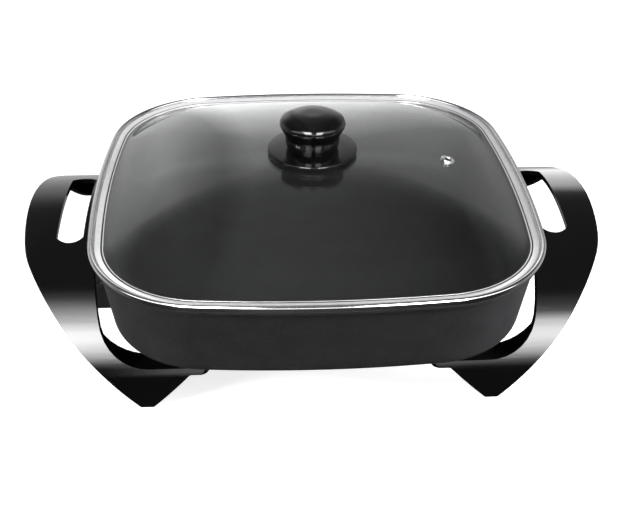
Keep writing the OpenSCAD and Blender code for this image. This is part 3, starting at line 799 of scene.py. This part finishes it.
def aim(obj, place, target):
    """Puts the object at its place and turns its front, -Z, to the target."""
    obj.location = place
    obj.rotation_euler = (Vector(target) - Vector(place)).to_track_quat("-Z", "Y").to_euler()


def make_floor():
    """White where the camera looks at it, with the shadow left in, and out of the object's reflections."""
    obj, tree, bsdf = sheet("floor", FLOOR_HALF, FLOOR_HALF)
    set_up(bsdf, roughness=0.9, specular=0.0)
    path = tree.nodes.new("ShaderNodeLightPath")
    seen = seen_by_camera(tree, path)
    tone = mix_colors(tree, seen, rgba(FLOOR_DULL), rgba(FLOOR_BRIGHT))
    tree.links.new(tone, bsdf.inputs["Base Color"])
    glow = light_shader(tree, "ShaderNodeEmission", rgba(1.0), math_node(tree, "MULTIPLY", seen, FLOOR_GLOW))
    lit = add_shaders(tree, bsdf.outputs["BSDF"], glow)
    surface(tree, mix_shaders(tree, path.outputs["Is Glossy Ray"], lit, transparent(tree, 1.0)))


def by_height(tree, height, levels):
    """Levels given by the height of a direction in degrees, as a share of BACK_PEAK."""
    return ramp(tree, height, [(sin(radians(e)) / 2 + 0.5, level / BACK_PEAK) for e, level in levels])


def studio_light(tree, x, y, z):
    """Bright low down behind, dim above and in front, and uneven across."""
    height = map_range(tree, z, -1, 1)
    color = mix_colors(tree, map_range(tree, y, -FADE, FADE), by_height(tree, height, FRONT),
                       by_height(tree, height, BACK))
    across = ramp(tree, map_range(tree, x, -1, 1), [((v + 1) / 2, f / ACROSS_PEAK) for v, f in ACROSS])
    strength = math_node(tree, "MULTIPLY", across, BACK_PEAK * ACROSS_PEAK)
    return light_shader(tree, "ShaderNodeBackground", color, strength)


def soft_box_light(tree, x, y, z, shown):
    """The tall soft boxes in front, where shown is 1."""
    angle = math_node(tree, "ARCTAN2", z, math_node(tree, "MULTIPLY", y, -1.0))
    half_turns = math_node(tree, "DIVIDE", angle, pi)
    level = 0.0
    for start, end, lean, strength in BOXES:
        tall = ramp(tree, half_turns, [((e + lean) / 180, v) for e, v in BOX_PROFILE])
        box = math_node(tree, "MULTIPLY", window(tree, x, start, end, BOX_SOFT), strength)
        level = math_node(tree, "ADD", level, math_node(tree, "MULTIPLY", box, tall))
    strength = math_node(tree, "MULTIPLY", level, shown)
    return light_shader(tree, "ShaderNodeBackground", rgba(1.0), strength)


def make_world():
    """White to the camera; to all else the studio, with the soft boxes only in reflections."""
    world = bpy.data.worlds.new("studio")
    bpy.context.scene.world = world
    world.use_nodes = True
    tree = world.node_tree
    tree.nodes.clear()
    direction = split_vector(tree, "Generated")
    path = tree.nodes.new("ShaderNodeLightPath")
    studio = studio_light(tree, *direction)
    boxes = soft_box_light(tree, *direction, path.outputs["Is Glossy Ray"])
    white = light_shader(tree, "ShaderNodeBackground", rgba(1.0), 1.0)
    light = mix_shaders(tree, seen_by_camera(tree, path), add_shaders(tree, studio, boxes), white)
    tree.links.new(light, tree.nodes.new("ShaderNodeOutputWorld").inputs["Surface"])


def make_panel(name, place, target, size, strength, shown_in):
    """A glowing panel with soft edges that shows only in the reflections on one piece."""
    half_w, half_l = size[0] / 2, size[1] / 2
    obj, tree, bsdf = sheet(name, half_w, half_l)
    aim(obj, place, target)
    tree.nodes.remove(bsdf)
    x, y, _ = split_vector(tree, "Object")
    faded = [window(tree, v, (PANEL_SOFT / 2 - 1) * half, (1 - PANEL_SOFT / 2) * half, PANEL_SOFT * half)
             for v, half in ((x, half_w), (y, half_l))]
    level = math_node(tree, "MULTIPLY", *faded)
    glow = light_shader(tree, "ShaderNodeEmission", rgba(1.0), math_node(tree, "MULTIPLY", level, strength))
    through = transparent(tree, 1.0)
    path = tree.nodes.new("ShaderNodeLightPath")
    lit = add_shaders(tree, glow, through)
    surface(tree, mix_shaders(tree, path.outputs["Is Glossy Ray"], through, lit))
    receivers = bpy.data.collections.new(name)
    receivers.objects.link(bpy.data.objects[shown_in])
    obj.light_linking.receiver_collection = receivers


def make_lamp(name, place, power):
    """A square lamp that lights the object but doesn't show in it."""
    data = bpy.data.lights.new(name, "AREA")
    data.size = LAMP_SIZE
    data.energy = power
    lamp = add_object(name, data)
    aim(lamp, place, LAMP_TARGET)
    lamp.visible_glossy = False


make_floor()
make_world()
make_panel("right_panel", place=(0.275, 0.255, 0.13), target=(0.22, 0.0, 0.11), size=(0.14, 0.22),
           strength=2.2, shown_in="right_grip")
make_lamp("left_lamp", place=(-2.0, -0.9, 0.9), power=62)
make_lamp("right_lamp", place=(2.1, -0.4, 0.9), power=140)
bpy.context.scene.view_settings.view_transform = "Standard"
